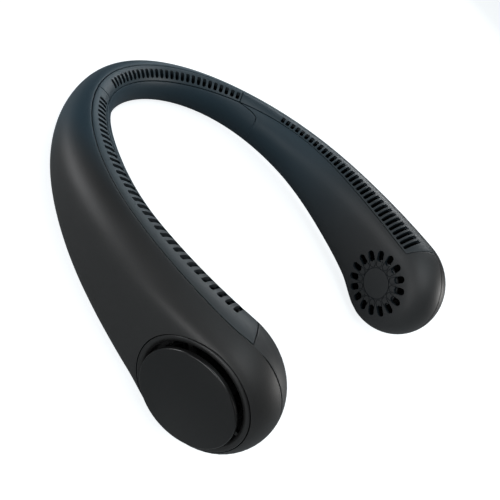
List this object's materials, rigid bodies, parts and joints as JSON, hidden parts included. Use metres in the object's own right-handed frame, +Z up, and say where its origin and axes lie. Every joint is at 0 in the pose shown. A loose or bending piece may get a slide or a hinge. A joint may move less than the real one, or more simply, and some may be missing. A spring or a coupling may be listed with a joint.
{
  "type": "neck fan",
  "caption": "Wearable neck fan: rigid U-shaped body with slotted air strips along its top and a round fan pod at each front end.",
  "frame": {"origin": "centre of the bounding box at floor level, the fan lying on its two pods and on the back of its curve", "axes": "+Z up; arms point toward -Y and the back of the neck curve toward +Y; +X is the arm with the power button; the outside of the shells is symmetric about X = 0"},
  "size_m": [0.195, 0.204, 0.0606],
  "materials": {
    "outer_shell_plastic": "satin matt",
    "inner_shell_plastic": "satin matt",
    "strip_plastic": "satin matt",
    "ring_plastic": "satin matt",
    "cap_plastic": "satin matt",
    "motor_aluminium": "machined",
    "bearing_steel": "ground",
    "winding_copper": "enamelled",
    "can_steel": "plated",
    "impeller_plastic": "moulded",
    "duct_plastic": "moulded",
    "cell_wrap": "shrink film",
    "board_laminate": "solder resist",
    "switch_plastic": "moulded",
    "button_plastic": "satin matt",
    "socket_steel": "pressed",
    "light_pipe_plastic": "clear moulded",
    "wire_sleeve": "braided sleeve",
    "screw_steel": "blackened"
  },
  "bodies": {
    "fan_frame": {"outer_shell": "outer_shell_plastic", "right_inner_shell": "inner_shell_plastic", "left_inner_shell": "inner_shell_plastic", "rear_inner_cover": "inner_shell_plastic", "right_vent_strip": "strip_plastic", "left_vent_strip": "strip_plastic", "rear_vent_strip": "strip_plastic", "right_intake_ring": "ring_plastic", "left_intake_ring": "ring_plastic", "right_cap": "cap_plastic", "left_cap": "cap_plastic", "right_motor_plate": "motor_aluminium", "left_motor_plate": "motor_aluminium", "right_bearings": "bearing_steel", "left_bearings": "bearing_steel", "right_stator": "winding_copper", "left_stator": "winding_copper", "right_scroll": "duct_plastic", "left_scroll": "duct_plastic", "right_air_guide": "duct_plastic", "left_air_guide": "duct_plastic", "right_cell": "cell_wrap", "left_cell": "cell_wrap", "circuit_board": "board_laminate", "power_switch": "switch_plastic", "usb_port": "socket_steel", "light_pipes": "light_pipe_plastic", "right_loom": "wire_sleeve", "left_loom": "wire_sleeve", "shell_screws": "screw_steel", "motor_screws": "screw_steel", "cap_screws": "screw_steel", "board_screws": "screw_steel"},
    "right_rotor": {"right_impeller": "impeller_plastic", "right_magnet_can": "can_steel", "right_shaft": "bearing_steel"},
    "left_rotor": {"left_impeller": "impeller_plastic", "left_magnet_can": "can_steel", "left_shaft": "bearing_steel"},
    "button": {"power_button": "button_plastic", "switch_plunger": "switch_plastic"}
  },
  "joints": [
    {"name": "right_rotor_spin", "type": "hinge", "parent": "fan_frame", "child": "right_rotor", "pos_m": [0.07636, -0.07194, 0.03017], "axis": [0.9703, -0.2355, 0.0556], "continuous": true},
    {"name": "left_rotor_spin", "type": "hinge", "parent": "fan_frame", "child": "left_rotor", "pos_m": [-0.07636, -0.07194, 0.03017], "axis": [-0.9703, -0.2355, 0.0556], "continuous": true},
    {"name": "power_button_press", "type": "slide", "parent": "fan_frame", "child": "button", "axis": [-0.9556, -0.2869, 0.0677], "range_m": [0, 0.0005], "stiffness_N_per_m": 1500}
  ]
}
